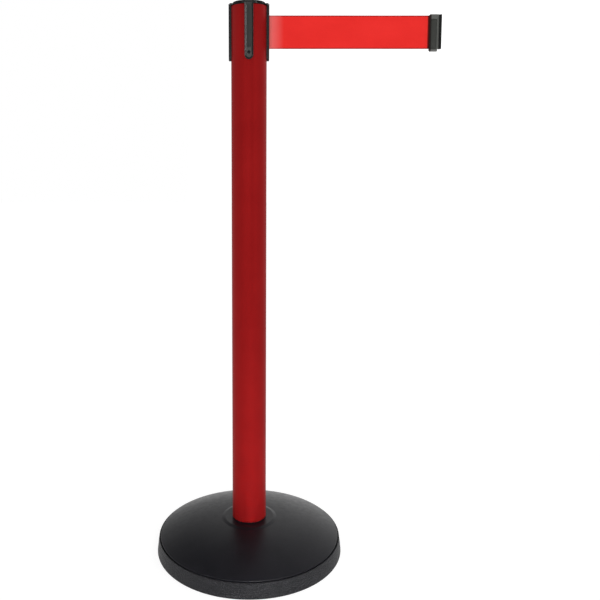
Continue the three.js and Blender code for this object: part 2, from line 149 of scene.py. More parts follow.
def rounded_box(across, heights, margin, radius):
    """A rectangle with round corners, its sides moved inwards by margin."""
    left, right = across[0] + margin, across[1] - margin
    low, high = heights[0] + margin, heights[1] - margin
    return rounded([(left, low, radius), (right, low, radius), (right, high, radius),
                    (left, high, radius)])


def arc_band(inner, outer, half_angle, steps=20):
    """Part of a ring about the origin, centred on +X, as (x, y) points going anticlockwise."""
    angles = [half_angle * (2 * step / steps - 1) for step in range(steps + 1)]
    outside = [(outer * math.cos(a), outer * math.sin(a)) for a in angles]
    inside = [(inner * math.cos(a), inner * math.sin(a)) for a in reversed(angles)]
    return outside + inside


def inset(outline, amount):
    """The outline moved inwards by amount, along the mitre of each corner."""
    points = [Vector(p) for p in outline]
    moved = []
    for i, here in enumerate(points):
        back = (here - points[i - 1]).normalized()
        ahead = (points[(i + 1) % len(points)] - here).normalized()
        out_back = Vector((back.y, -back.x))
        out_ahead = Vector((ahead.y, -ahead.x))
        mitre = (out_back + out_ahead) / (1 + out_back.dot(out_ahead))
        moved.append(here - mitre * amount)
    return moved


# ------------------------------------------------------------------ levels of a prism
def quarter(steps=4):
    return [math.pi / 2 * step / steps for step in range(steps + 1)]


def ease_end(end, radius):
    """(height, inset) levels that round a prism's far edge off."""
    return [(end + radius * (math.sin(a) - 1), radius * (1 - math.cos(a))) for a in quarter()]


def ease_start(start, radius):
    """(height, inset) levels that round a prism's near edge off."""
    return [(start + radius * (1 - math.sin(a)), radius * (1 - math.cos(a)))
            for a in reversed(quarter())]


def ease_mouth(face, radius, past=3.0):
    """(height, inset) levels of a cutter that leaves a rounded edge where it breaks a face."""
    levels = [(height, -amount) for height, amount in ease_end(face, radius)]
    return levels + [(face + past, -radius)]


def bevel_mouth(face, depth, width, past=3.0):
    """(height, inset) levels of a cutter that leaves a bevel where it breaks a face."""
    return [(face - depth, 0), (face + past, -width * (1 + past / depth))]


# ------------------------------------------------------------------ solids
def make(name, points, faces):
    """A mesh object from points in millimetres, with its faces turned outwards."""
    mesh = bpy.data.meshes.new(name)
    mesh.from_pydata([Vector(p) * MM for p in points], [], faces)
    shape = bmesh.new()
    shape.from_mesh(mesh)
    bmesh.ops.recalc_face_normals(shape, faces=shape.faces)
    shape.to_mesh(mesh)
    shape.free()
    piece = bpy.data.objects.new(name, mesh)
    bpy.context.scene.collection.objects.link(piece)
    return piece


def turned(name, profile, segments=FINE):
    """A solid of revolution about +Z from (radius, height) points, closed on itself or at the axis."""
    points, rows = [], []
    for radius, height in profile:
        if radius < 1e-6:
            rows.append([len(points)])
            points.append((0, 0, height))
            continue
        rows.append(list(range(len(points), len(points) + segments)))
        for i in range(segments):
            angle = 2 * math.pi * i / segments
            points.append((radius * math.cos(angle), radius * math.sin(angle), height))
    pairs = list(zip(rows, rows[1:]))
    if len(rows[0]) > 1:
        pairs.append((rows[-1], rows[0]))
    faces = []
    for low, high in pairs:
        for i in range(segments):
            j = (i + 1) % segments
            corners = [low[i % len(low)], low[j % len(low)], high[j % len(high)], high[i % len(high)]]
            face = list(dict.fromkeys(corners))
            if len(face) > 2:
                faces.append(face)
    return make(name, points, faces)


def along_x(across, height, level):
    return (level, across, height)


def along_front(across, height, level):
    return (across, -level, height)


def along_z(x, y, level):
    return (x, y, level)


def prism(name, outline, levels, place):
    """A closed solid: the outline repeated at each (level, inset), with a face at each end."""
    count = len(outline)
    points = []
    for level, amount in levels:
        ring = inset(outline, amount) if amount else outline
        points.extend(place(p[0], p[1], level) for p in ring)
    faces = [list(range(count)), list(range(len(points) - count, len(points)))]
    for low in range(0, len(points) - count, count):
        for i in range(count):
            j = (i + 1) % count
            faces.append([low + i, low + j, low + count + j, low + count + i])
    return make(name, points, faces)


def block(name, x_span, y_span, z_span):
    """A plain box, for cutting and joining."""
    outline = [(x_span[x], y_span[y]) for x, y in ((0, 0), (1, 0), (1, 1), (0, 1))]
    return prism(name, outline, [(z_span[0], 0), (z_span[1], 0)], along_z)


def rod(name, radius, x_span, z):
    """A plain cylinder along +X, for cutting."""
    outline = []
    for i in range(COARSE):
        angle = 2 * math.pi * i / COARSE
        outline.append((radius * math.cos(angle), z + radius * math.sin(angle)))
    return prism(name, outline, [(x_span[0], 0), (x_span[1], 0)], along_x)


def combine(piece, tools, operation):
    """Joins tools to a piece or cuts them out of it, and removes them."""
    for tool in tools:
        modifier = piece.modifiers.new(operation, "BOOLEAN")
        modifier.operation = operation
        modifier.solver = "EXACT"
        modifier.object = tool
        result = bpy.data.meshes.new_from_object(
            piece.evaluated_get(bpy.context.evaluated_depsgraph_get()))
        if not result.polygons:
            raise ValueError(f"{operation} of {tool.name} left nothing of {piece.name}")
        piece.modifiers.clear()
        piece.data = result
        bpy.data.objects.remove(tool)
    return piece


def join(piece, *tools):
    return combine(piece, tools, "UNION")


def cut(piece, *tools):
    return combine(piece, tools, "DIFFERENCE")


def rotate(piece, degrees):
    """Turns a piece about +Z, in its mesh."""
    piece.data.transform(Matrix.Rotation(math.radians(degrees), 4, "Z"))
    return piece


def finish_surface(piece, sharp=SHARP_ANGLE):
    """Smooth shading that keeps hard edges, with flat faces staying flat beside rounded edges."""
    shape = bmesh.new()
    shape.from_mesh(piece.data)
    bmesh.ops.remove_doubles(shape, verts=shape.verts, dist=0.002 * MM)
    bmesh.ops.dissolve_degenerate(shape, edges=shape.edges, dist=0.001 * MM)
    shape.to_mesh(piece.data)
    shape.free()
    for polygon in piece.data.polygons:
        polygon.use_smooth = True
    piece.data.set_sharp_from_angle(angle=sharp)
    weighted = piece.modifiers.new("even_normals", "WEIGHTED_NORMAL")
    weighted.keep_sharp = True
    weighted.weight = 60
    return piece


def install(piece, body, node, material, sharp=SHARP_ANGLE):
    """Finishes a piece, gives it its material and lets it stand for a CAD node.

    A piece without a body is not attached to one.
    """
    finish_surface(piece, sharp)
    piece.data.materials.clear()
    piece.data.materials.append(material)
    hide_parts(node)
    if body:
        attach(piece, body)
    return piece


# ------------------------------------------------------------------ procedural materials
class Finish:
    """A material made of nodes, with short ways to add what most of the finishes need."""

    def __init__(self, name, specular=0.5, metallic=0.0):
        self.material = bpy.data.materials.new(name)
        self.material.use_nodes = True
        self.tree = self.material.node_tree
        self.shader = self.tree.nodes["Principled BSDF"]
        self.shader.inputs["Specular IOR Level"].default_value = specular
        self.shader.inputs["Metallic"].default_value = metallic
        self.place = self.tree.nodes.new("ShaderNodeTexCoord").outputs["Object"]
        self.relief = None

    def feed(self, socket, value):
        if isinstance(value, bpy.types.NodeSocket):
            self.tree.links.new(value, socket)
        else:
            socket.default_value = value

    def math(self, operation, first, second=0.0):
        node = self.tree.nodes.new("ShaderNodeMath")
        node.operation = operation
        self.feed(node.inputs[0], first)
        self.feed(node.inputs[1], second)
        return node.outputs[0]

    def axes(self):
        node = self.tree.nodes.new("ShaderNodeSeparateXYZ")
        self.feed(node.inputs[0], self.place)
        return node.outputs[0], node.outputs[1], node.outputs[2]

    def noise(self, size, detail=2.0, roughness=0.5, stretch=(1, 1, 1)):
        """Noise whose features are about size millimetres across, from about 0.3 to 0.7."""
        mapping = self.tree.nodes.new("ShaderNodeMapping")
        mapping.inputs["Scale"].default_value = stretch
        self.feed(mapping.inputs["Vector"], self.place)
        node = self.tree.nodes.new("ShaderNodeTexNoise")
        self.feed(node.inputs["Vector"], mapping.outputs[0])
        node.inputs["Scale"].default_value = 1 / (size * MM)
        node.inputs["Detail"].default_value = detail
        node.inputs["Roughness"].default_value = roughness
        return node.outputs["Fac"]

    def cells(self, size):
        """Distance to the nearest of many scattered points about size millimetres apart."""
        node = self.tree.nodes.new("ShaderNodeTexVoronoi")
        self.feed(node.inputs["Vector"], self.place)
        node.inputs["Scale"].default_value = 1 / (size * MM)
        return node.outputs["Distance"]

    def spread(self, value, low, high, start=0.3, end=0.7):
        """value carried from the range start to end over to the range low to high."""
        node = self.tree.nodes.new("ShaderNodeMapRange")
        for socket, number in zip(node.inputs[1:5], (start, end, low, high)):
            socket.default_value = number
        self.feed(node.inputs[0], value)
        return node.outputs[0]

    def mix(self, factor, first, second):
        node = self.tree.nodes.new("ShaderNodeMix")
        node.data_type = "RGBA"
        self.feed(node.inputs[0], factor)
        for socket, colour in ((node.inputs[6], first), (node.inputs[7], second)):
            self.feed(socket, colour if isinstance(colour, bpy.types.NodeSocket) else (*colour, 1))
        return node.outputs[2]

    def off_square(self):
        """0 on faces square to the axes, up to 1 on slopes and rounded edges."""
        normal = self.tree.nodes.new("ShaderNodeTexCoord").outputs["Normal"]
        node = self.tree.nodes.new("ShaderNodeSeparateXYZ")
        self.feed(node.inputs[0], normal)
        parts = [self.math("ABSOLUTE", output) for output in node.outputs]
        most = self.math("MAXIMUM", self.math("MAXIMUM", parts[0], parts[1]), parts[2])
        return self.spread(most, 1, 0, start=0.94, end=0.985)

    def colour(self, value):
        self.feed(self.shader.inputs["Base Color"], value)

    def roughness(self, value):
        self.feed(self.shader.inputs["Roughness"], value)

    def bump(self, height, depth):
        """Adds relief to the surface, depth millimetres for a height of 1."""
        node = self.tree.nodes.new("ShaderNodeBump")
        node.inputs["Strength"].default_value = 1.0
        node.inputs["Distance"].default_value = depth * MM
        self.feed(node.inputs["Height"], height)
        if self.relief is not None:
            self.feed(node.inputs["Normal"], self.relief)
        self.relief = node.outputs[0]
        self.feed(self.shader.inputs["Normal"], self.relief)


def powder_coat():
    """Satin red powder coat with its fine orange peel."""
    look = Finish("red_powder_coat", specular=0.12, metallic=0.35)
    look.shader.inputs["Specular Tint"].default_value = (0.55, 0.12, 0.12, 1)
    clouds = look.spread(look.noise(60, detail=3), 0, 1)
    specks = look.spread(look.noise(0.9, detail=1), 0, 1)
    body = look.mix(clouds, (0.222, 0.0066, 0.0072), (0.254, 0.0082, 0.0086))
    look.colour(look.mix(look.math("MULTIPLY", specks, 0.25), body, (0.335, 0.010, 0.010)))
    look.roughness(look.spread(look.noise(1.6), 0.40, 0.50))
    look.bump(look.noise(2.2, detail=1), 0.07)
    look.bump(look.noise(0.7, detail=1), 0.012)
    return look.material


def moulded_plastic(name, dark, light):
    """Moulded plastic: faint flow marks, a fine spark-eroded grain and small rub marks."""
    look = Finish(name, specular=0.07)
    flow = look.spread(look.noise(14, detail=4, stretch=(1, 1, 0.35)), 0, 1)
    look.colour(look.mix(flow, dark, light))
    rubbed = look.noise(3.5, detail=5, roughness=0.65)
    look.roughness(look.spread(rubbed, 0.3, 0.42))
    look.bump(look.noise(0.45, detail=2), 0.018)
    return look.material


def rail_plastic():
    """Black moulding: polished on its slopes and edges, greyed where clips slide in and out."""
    look = Finish("rail_plastic", specular=0.32)
    x, y, z = look.axes()
    from_x, from_y = look.math("ABSOLUTE", x), look.math("ABSOLUTE", y)
    reach = look.math("MAXIMUM", from_x, from_y)  # outwards from the post's axis
    aside = look.math("MINIMUM", from_x, from_y)  # sideways from the rail's middle
    channel_floor = RAIL_FACE - CHANNEL_DEPTH
    deep = look.spread(reach, 1, 0, start=(channel_floor + 0.2) * MM, end=(channel_floor + 0.5) * MM)
    inside = look.spread(aside, 1, 0, start=(RAIL_BODY_HALF - 1.0) * MM,
                         end=(RAIL_BODY_HALF - 0.6) * MM)
    scuffs = look.spread(look.noise(2.5, detail=5, roughness=0.7), 0.55, 1)
    worn = look.math("MULTIPLY", look.math("MULTIPLY", deep, inside), scuffs)
    above = look.spread(z, 0, 1, start=(SLOT_FLOOR - 1.2) * MM, end=(SLOT_FLOOR - 0.8) * MM)
    shallow = look.spread(reach, 0, 1, start=(channel_floor - 0.3) * MM,
                          end=(channel_floor - 0.1) * MM)
    worn = look.math("MULTIPLY", worn, look.math("MAXIMUM", above, shallow))
    flow = look.spread(look.noise(14, detail=4, stretch=(1, 1, 0.35)), 0, 1)
    body = look.mix(flow, (0.0026, 0.0027, 0.0029), (0.0048, 0.0050, 0.0053))
    look.colour(look.mix(worn, body, (0.062, 0.064, 0.059)))
    grain = look.spread(look.noise(3.5, detail=5, roughness=0.65), 0.38, 0.48)
    look.roughness(look.math("SUBTRACT", grain, look.math("MULTIPLY", look.off_square(), 0.24)))
    look.bump(look.noise(0.45, detail=2), 0.004)
    return look.material


def cover_plastic():
    """Smooth satin dome: slightly blue black, with faint haze and fine grain."""
    look = Finish("dome_plastic", specular=0.17)
    haze = look.spread(look.noise(45, detail=5, roughness=0.6), 0, 1)
    dust = look.spread(look.noise(1.1, detail=2), 0, 1, start=0.62, end=0.75)
    body = look.mix(haze, (0.0050, 0.0049, 0.0070), (0.0080, 0.0078, 0.0104))
    look.colour(look.mix(look.math("MULTIPLY", dust, 0.3), body, (0.035, 0.035, 0.038)))
    look.roughness(look.spread(look.noise(9, detail=5, roughness=0.62), 0.28, 0.40))
    look.bump(look.noise(0.8, detail=2), 0.014)
    return look.material


def grained_rubber():
    """Coarse pebbled rubber, greyer on the tops of its grain."""
    look = Finish("grained_rubber", specular=0.14)
    pebbles = look.cells(2.6)
    crumbs = look.noise(1.7, detail=3, roughness=0.6)
    patches = look.spread(look.noise(16, detail=4), 0, 1)
    tops = look.spread(crumbs, 0, 1, start=0.4, end=0.66)
    body = look.mix(patches, (0.006, 0.006, 0.0075), (0.009, 0.009, 0.0105))
    look.colour(look.mix(look.math("MULTIPLY", tops, 0.6), body, (0.034, 0.034, 0.037)))
    look.roughness(look.spread(crumbs, 0.40, 0.62))
    look.bump(pebbles, -0.55)
    look.bump(crumbs, 0.55)
    return look.material


def clip_plastic():
    """Grey moulding with a black T, lighter and mottled along its foot, with painted shade on its edge
    beside the belt.
    """
    look = Finish("clip_plastic", specular=0.2)
    x, _, z = look.axes()
    flow = look.spread(look.noise(14, detail=4, stretch=(1, 1, 0.35)), 0, 1)
    body = look.mix(flow, (0.088, 0.091, 0.084), (0.112, 0.115, 0.107))
    scuffs = look.spread(look.noise(2, detail=4, roughness=0.7), 0.4, 1)
    # a lighter, mottled band along the foot
    foot = look.spread(z, 1, 0, start=(CLIP_LOW + 2.2) * MM, end=(CLIP_LOW + 3.0) * MM)
    body = look.mix(look.math("MULTIPLY", foot, scuffs), body, (0.14, 0.14, 0.136))
    # painted shade: the clip's edge beside the belt is near black
    shade_beside_belt = look.spread(x, 0.96, 0, start=(CLIP_START + 2.2) * MM, end=(CLIP_START + 2.9) * MM)
    body = look.mix(shade_beside_belt, body, (0.008, 0.0025, 0.0025))
    head_start = (CLIP_TIP - T_THICKNESS - 1) * MM
    head = look.spread(x, 0, 1, start=head_start, end=head_start + 0.5 * MM)
    look.colour(look.mix(head, body, (0.006, 0.006, 0.006)))
    look.roughness(look.spread(look.noise(3.5, detail=5, roughness=0.65), 0.32, 0.44))
    look.bump(look.noise(0.45, detail=2), 0.018)
    return look.material


def cast_iron():
    look = Finish("cast_iron", specular=0.4, metallic=0.6)
    sand = look.noise(1.4, detail=5, roughness=0.65)
    stains = look.spread(look.noise(22, detail=4), 0, 1)
    look.colour(look.mix(stains, (0.085, 0.085, 0.090), (0.16, 0.15, 0.145)))
    look.roughness(look.spread(sand, 0.55, 0.8))
    look.bump(sand, 0.35)
    return look.material


def plated_steel(name, dark, light, roughness=(0.22, 0.38)):
    """Machined and plated steel, with fine marks round its axis and cloudy plating."""
    look = Finish(name, metallic=1.0)
    clouds = look.spread(look.noise(4, detail=4), 0, 1)
    marks = look.noise(0.9, detail=3, stretch=(1, 1, 5))
    look.colour(look.mix(clouds, dark, light))
    look.roughness(look.spread(marks, *roughness))
    look.bump(marks, 0.01)
    return look.material


def nylon():
    look = Finish("natural_nylon", specular=0.45)
    flow = look.spread(look.noise(5, detail=3), 0, 1)
    look.colour(look.mix(flow, (0.72, 0.69, 0.60), (0.80, 0.78, 0.71)))
    look.roughness(look.spread(look.noise(2, detail=3), 0.42, 0.56))
    look.bump(look.noise(0.6), 0.01)
    return look.material


def webbing():
    """Red polyester webbing: a twill, with painted shade between its yarns, and darker along its edges.

    It has a painted highlight where it comes out of the head, and the clip's shadow painted on it
    beside the clip.
    """
    look = Finish("red_webbing", specular=0.15)
    look.shader.inputs["Sheen Weight"].default_value = 0.06
    look.shader.inputs["Sheen Roughness"].default_value = 0.5
    x, _, z = look.axes()
    warp_pitch, weft_pitch = 0.85 * MM, 0.95 * MM
    along = look.math("DIVIDE", x, weft_pitch)
    across = look.math("DIVIDE", z, warp_pitch)
    steps = look.math("ADD", look.math("FLOOR", along), look.math("FLOOR", across))
    phase = look.math("FLOORED_MODULO", steps, 4.0)
    over = look.math("LESS_THAN", phase, 1.5)
    warp = look.math("SINE", look.math("MULTIPLY", look.math("FRACT", across), math.pi))
    weft = look.math("SINE", look.math("MULTIPLY", look.math("FRACT", along), math.pi))
    raised = look.math("MULTIPLY", over, look.math("SUBTRACT", warp, weft))
    weave = look.math("ADD", raised, weft)
    fibres = look.noise(0.35, detail=3, stretch=(0.3, 1, 1))
    wear = look.spread(look.noise(38, detail=4, stretch=(0.5, 1, 1)), 0, 1)

    cloth = look.mix(wear, (0.84, 0.020, 0.016), (0.92, 0.027, 0.022))
    # painted shade in the hollows between the yarns
    valley = look.spread(weave, 0.42, 0, start=0, end=0.8)
    cloth = look.mix(valley, cloth, (0.55, 0.008, 0.007))
    middle, half = (BELT_LOW + BELT_HIGH) / 2 * MM, (BELT_HIGH - BELT_LOW) / 2 * MM
    off_centre = look.math("ABSOLUTE", look.math("SUBTRACT", z, middle))
    selvedge = look.spread(off_centre, 0, 0.9, start=half - 2.3 * MM, end=half - 1.6 * MM)
    cloth = look.mix(selvedge, cloth, (0.34, 0.010, 0.008))
    # painted highlight: the webbing is paler for a short way out of the head
    highlight_length = 26
    exit_highlight = look.spread(x, 0.52, 0, start=RAIL_FACE * MM, end=(RAIL_FACE + highlight_length) * MM)
    cloth = look.mix(exit_highlight, cloth, (1.0, 0.31, 0.30))
    # painted shadow that the clip casts on the belt beside it
    clip_shadow = look.tree.nodes.new("ShaderNodeAttribute")
    clip_shadow.attribute_name = "clip_shadow"
    look.colour(look.mix(clip_shadow.outputs["Fac"], cloth, (0.060, 0.003, 0.003)))
    look.roughness(look.spread(fibres, 0.62, 0.8))
    look.bump(weave, 0.12)
    look.bump(fibres, 0.05)
    return look.material


RED = powder_coat()
RAIL = rail_plastic()
BLACK = moulded_plastic("black_plastic", (0.0040, 0.0041, 0.0043), (0.0070, 0.0072, 0.0075))
CLIP_GREY = clip_plastic()
GREY = moulded_plastic("grey_plastic", (0.040, 0.042, 0.038), (0.053, 0.055, 0.050))
DOME = cover_plastic()
RUBBER = grained_rubber()
IRON = cast_iron()
STEEL = plated_steel("zinc_plated_steel", (0.52, 0.53, 0.55), (0.68, 0.69, 0.70))
BLUED = plated_steel("blued_spring_steel", (0.09, 0.10, 0.13), (0.17, 0.19, 0.23), (0.3, 0.45))
OXIDE = plated_steel("black_oxide_steel", (0.012, 0.012, 0.014), (0.03, 0.03, 0.033), (0.4, 0.5))
NYLON = nylon()
WEBBING = webbing()


# ------------------------------------------------------------------ base
DOME_EDGE_RADIUS = 170.0
DOME_PEAK = 59.6
DOME_DROP = 29.8
DOME_POWER = 2.72
COVER_WALL = 2.0
HUB_RADIUS = 47.2
BORE_RADIUS = 13.0  # hole for the anchor bolt in the cover and the collar


def dome_height(radius):
    """Height of the dome: almost flat round the hub, steep at the rim."""
    return DOME_PEAK - DOME_DROP * (radius / DOME_EDGE_RADIUS) ** DOME_POWER


def rubber_ring():
    """The ring under the base: grooved foot, sloping side and a groove round the dome's rim."""
    flange, foot_inner = 3.0, 148.0
    lip_top = RING_TOP - 1.3
    groove_half, groove_depth = 0.9, 1.0
    corners = [(foot_inner, 0, 0.8)]
    for groove in range(152, 170, 4):
        corners += [(groove - groove_half, 0, 0.3), (groove, groove_depth, 0.4),
                    (groove + groove_half, 0, 0.3)]
    corners += [
        (BASE_RADIUS + 0.05, 0, 1.0),
        (BASE_RADIUS - 1.6, RING_TOP / 2, 60),
        (BASE_RADIUS - 3.4, lip_top, 1.2),
        (COVER_RADIUS + 1.9, lip_top, 0.5),
        (COVER_RADIUS + 1.7, RING_TOP - 4.2, 0.5),
        (COVER_RADIUS + 0.3, RING_TOP - 4.6),
        (COVER_RADIUS + 0.3, flange),
        (foot_inner, flange, 0.8),
    ]
    return turned("rubber_ring", rounded(corners, steps=6))


def dome_cover():
    """The cover as a shell: straight rim, dome, and a flat hub with a softened edge."""
    inner = COVER_RADIUS - COVER_WALL
    under_hub = HUB_TOP - COVER_WALL - 0.7
    dome_rim = COVER_RADIUS - 2.8
    outer_dome = [(r, dome_height(r)) for r in np.linspace(dome_rim, HUB_RADIUS + 9, 44)]
    inner_dome = [(r, dome_height(r) - COVER_WALL - 0.6) for r in np.linspace(60, 160, 12)]
    foot = HUB_RADIUS + 5
    corners = [
        (inner, COVER_LOW),
        (COVER_RADIUS, COVER_LOW, 0.4),
        (COVER_RADIUS, dome_height(COVER_RADIUS), 1.7),
        *outer_dome,
        (foot, dome_height(foot), 9),
        (HUB_RADIUS - 1, HUB_TOP, 9),
        (BORE_RADIUS, HUB_TOP, 0.4),
        (BORE_RADIUS, under_hub),
        (46, under_hub),
        *inner_dome,
        (inner, COVER_LOW + 10),
    ]
    return turned("dome_cover", rounded(corners, steps=6))


install(rubber_ring(), "post", "floor_ring", RUBBER)
install(dome_cover(), "post", "base_cover", DOME)


# ------------------------------------------------------------------ post
def collar():
    outer, low, high = TUBE_RADIUS - 0.15, HUB_TOP + 0.05, TUBE_FOOT - 0.05
    corners = [(BORE_RADIUS, low), (outer, low, 0.4), (outer, high, 0.2), (BORE_RADIUS, high)]
    return turned("foot_gasket", rounded(corners))


def powder_coated_tube():
    """The tube, with four round-footed notches at its top for the rails."""
    inside = TUBE_RADIUS - TUBE_WALL
    corners = [
        (inside, TUBE_FOOT, 0.4),
        (TUBE_RADIUS, TUBE_FOOT, 0.8),
        (TUBE_RADIUS, TUBE_RIM, 0.6),
        (inside, TUBE_RIM, 0.4),
    ]
    tube = turned("powder_coated_tube", rounded(corners))
    half = RAIL_BODY_HALF + 0.3
    foot = RAIL_FOOT + RAIL_HALF - half
    notch = round_footed(half, foot, TUBE_RIM + 5)
    for angle in (0, 90, 180, 270):
        tool = prism("notch", notch, [(TUBE_RADIUS / 2, 0), (TUBE_RADIUS + 10, 0)], along_x)
        cut(tube, rotate(tool, angle))
    return tube


install(collar(), "post", "post_collar", BLACK)
install(powder_coated_tube(), "post", "post_tube", RED)


# ------------------------------------------------------------------ head rails
CHAMBER_BACK, CHAMBER_FRONT, CHAMBER_HALF = 27.6, 32.8, 5.3
NECK_HALF = 3.7
CHANNEL_HALF = 3.9  # flat floor of the long channel in a rail's face
CHANNEL_SLOPE = 3.1  # width of its sloping side
CHANNEL_FOOT = RAIL_FOOT + RAIL_HALF - CHANNEL_HALF
RIM_BLOCK_HALF = 14.0
MOUTH_FOOT = 1005.0  # the slot's neck flares above this height
MOUTH_SLOPE = 4.7 / 9
SCREW_SEAT = 32.1  # floor of the counterbore for a rail's screw, from the post's axis
SCREW_TIP, SCREW_CROWN = 23.0, 34.5


def closed_rail(name):
    """A rail on the +X side before its slot is cut: face plate, body, foot plug and rim block."""
    plate = prism(name, round_footed(RAIL_HALF, RAIL_FOOT, RAIL_TOP, corner=1.4),
                  [(TUBE_RADIUS - 4, 0), *ease_end(RAIL_FACE, 0.8)], along_x)
    saddle = [(0, RAIL_FOOT - 20), (TUBE_RADIUS + 0.05, RAIL_FOOT - 20),
              (TUBE_RADIUS + 0.05, TUBE_RIM + 0.25), (0, TUBE_RIM + 0.25)]
    cut(plate, turned("saddle", saddle))
    body = block("body", (RAIL_BACK, RAIL_FACE - 2), (-RAIL_BODY_HALF, RAIL_BODY_HALF),
                 (CORE_TOP + 0.5, RAIL_TOP - 0.4))
    foot = RAIL_FOOT + RAIL_HALF - RAIL_BODY_HALF
    plug = prism("plug", round_footed(RAIL_BODY_HALF - 0.1, foot, SLOT_FLOOR + 5),
                 [(TUBE_RADIUS - 1.35, 0), (RAIL_FACE - 2.2, 0)], along_x)
    half_angle = math.asin(RIM_BLOCK_HALF / RAIL_FACE)
    rim_block = prism("rim_block", arc_band(CAP_RADIUS + 0.4, RAIL_FACE - 0.1, half_angle),
                      [*ease_start(TUBE_RIM + 0.15, 0.4), *ease_end(RAIL_TOP - 0.1, 1.1)], along_z)
    join(plate, body, plug, rim_block)
    undercuts = []
    for sides in ((RAIL_HALF - 1, RAIL_HALF + 1), (-RAIL_HALF - 1, 1 - RAIL_HALF)):
        undercuts.append(block("undercut", (TUBE_RADIUS - 2, TUBE_RADIUS + 1.7), sides,
                               (SLOT_FLOOR, TUBE_RIM)))
    return cut(plate, *undercuts)


def face_cuts():
    """The long channel in a rail's face and the stepped hole for its screw."""
    channel = round_footed(CHANNEL_HALF, CHANNEL_FOOT, RAIL_TOP + 12)
    return [
        prism("channel", channel, bevel_mouth(RAIL_FACE, CHANNEL_DEPTH, CHANNEL_SLOPE), along_x),
        rod("counterbore", 2.9, (SCREW_SEAT, RAIL_FACE + 2), RAIL_SCREW_Z),
        rod("screw_hole", 2.25, (RAIL_BACK + 0.8, SCREW_SEAT + 0.9), RAIL_SCREW_Z),
    ]


def receiver(name):
    """A rail with the slot that takes another post's clip: chamber, neck and flared mouth."""
    above = RAIL_TOP + 3
    floor = RAIL_FACE - CHANNEL_DEPTH
    neck = [(-NECK_HALF, SLOT_FLOOR), (NECK_HALF, SLOT_FLOOR), (NECK_HALF, above + 3),
            (-NECK_HALF, above + 3)]
    reach = NECK_HALF + MOUTH_SLOPE * (above - MOUTH_FOOT)
    mouth = [(0.3 - NECK_HALF, MOUTH_FOOT - 1), (NECK_HALF - 0.3, MOUTH_FOOT - 1),
             (reach, above), (-reach, above)]
    return cut(
        closed_rail(name),
        block("chamber", (CHAMBER_BACK, CHAMBER_FRONT), (-CHAMBER_HALF, CHAMBER_HALF),
              (SLOT_FLOOR, above)),
        *face_cuts(),
        prism("neck", neck, [(CHAMBER_FRONT - 1, 0), *ease_mouth(floor, 0.5)], along_x),
        prism("mouth", mouth, [(CHAMBER_FRONT - 1.2, 0), (RAIL_FACE + 4, 0)], along_x),
    )


def belt_outlet(name):
    """The rail on the belt's side: a tapered throat ends in a narrow slot with eased lips."""
    neck_half = 2.0
    throat = [
        (RAIL_BACK - 1, -5.9),
        (29.2, -neck_half, 4),
        (33.2, -neck_half, 3),
        (RAIL_FACE + 1, -4.4),
        (RAIL_FACE + 1, 4.4),
        (33.2, neck_half, 3),
        (29.2, neck_half, 4),
        (RAIL_BACK - 1, 5.9),
    ]
    levels = [(BELT_LOW - 1.2, 0), (BELT_HIGH + 1.2, 0)]
    return cut(closed_rail(name), *face_cuts(),
               prism("throat", rounded(throat), levels, along_z))


def rail_screw(name):
    """A socket screw with a domed head, along +X."""
    head, shank = 2.55, 1.9
    under_head = SCREW_SEAT + 0.3
    profile = rounded([(0, SCREW_TIP), (shank, SCREW_TIP, 0.4), (shank, under_head),
                       (head, under_head, 0.15), (head, SCREW_CROWN - 0.3, 0.7),
                       (0, SCREW_CROWN)], closed=False)
    screw = turned(name, profile, COARSE)
    levels = [(SCREW_CROWN - 1.5, 0), (SCREW_CROWN - 0.3, 0), (SCREW_CROWN + 0.9, -0.6)]
    cut(screw, prism("socket", hexagon(1.45), levels, along_z))
    screw.data.transform(Matrix.Rotation(math.pi / 2, 4, "Y"))
    screw.data.transform(Matrix.Translation((0, 0, RAIL_SCREW_Z * MM)))
    return screw


RAILS = [
    ("belt_outlet", "belt_exit_rail", "exit", 0, belt_outlet),
    ("back_slot_rail", "receiver_back", "back", 90, receiver),
    ("left_slot_rail", "receiver_left", "left", 180, receiver),
    ("front_slot_rail", "receiver_front", "front", 270, receiver),
]
for rail_name, rail_node, side, angle, build in RAILS:
    rail = rotate(build(rail_name), angle)
    install(rail, "post", rail_node, RAIL)
    screw = rotate(rail_screw(side + "_socket_screw"), angle)
    install(screw, "post", "rail_screw_" + side, OXIDE)


# ------------------------------------------------------------------ head cap
def head_cap():
    """The cap: skirt in the tube, round rim, shallow dish and a countersink, with four notches."""
    under = TUBE_RIM + 0.1
    skirt = TUBE_RADIUS - TUBE_WALL - 0.15
    corners = [
        (2.3, under),
        (skirt - 1.7, under),
        (skirt - 1.7, CAP_SKIRT),
        (skirt, CAP_SKIRT, 0.4),
        (skirt, under),
        (CAP_RADIUS, under, 0.4),
        (CAP_RADIUS, CAP_TOP, 2.8),
        (24.5, CAP_TOP, 0.5),
        (23.8, CAP_TOP - 0.7, 0.5),
        (5.6, CAP_TOP - 0.4, 0.4),
        (4.8, CAP_TOP - 0.1, 0.3),
        (2.3, CAP_TOP - 2.5),
    ]
    cap = turned("head_cap", rounded(corners, steps=8))
    half = RAIL_BODY_HALF + 0.25
    for angle in (0, 90, 180, 270):
        notch = block("notch", (RAIL_BACK - 0.25, CAP_RADIUS + 8), (-half, half),
                      (CAP_SKIRT - 1, CAP_TOP + 1))
        cut(cap, rotate(notch, angle))
    return cap


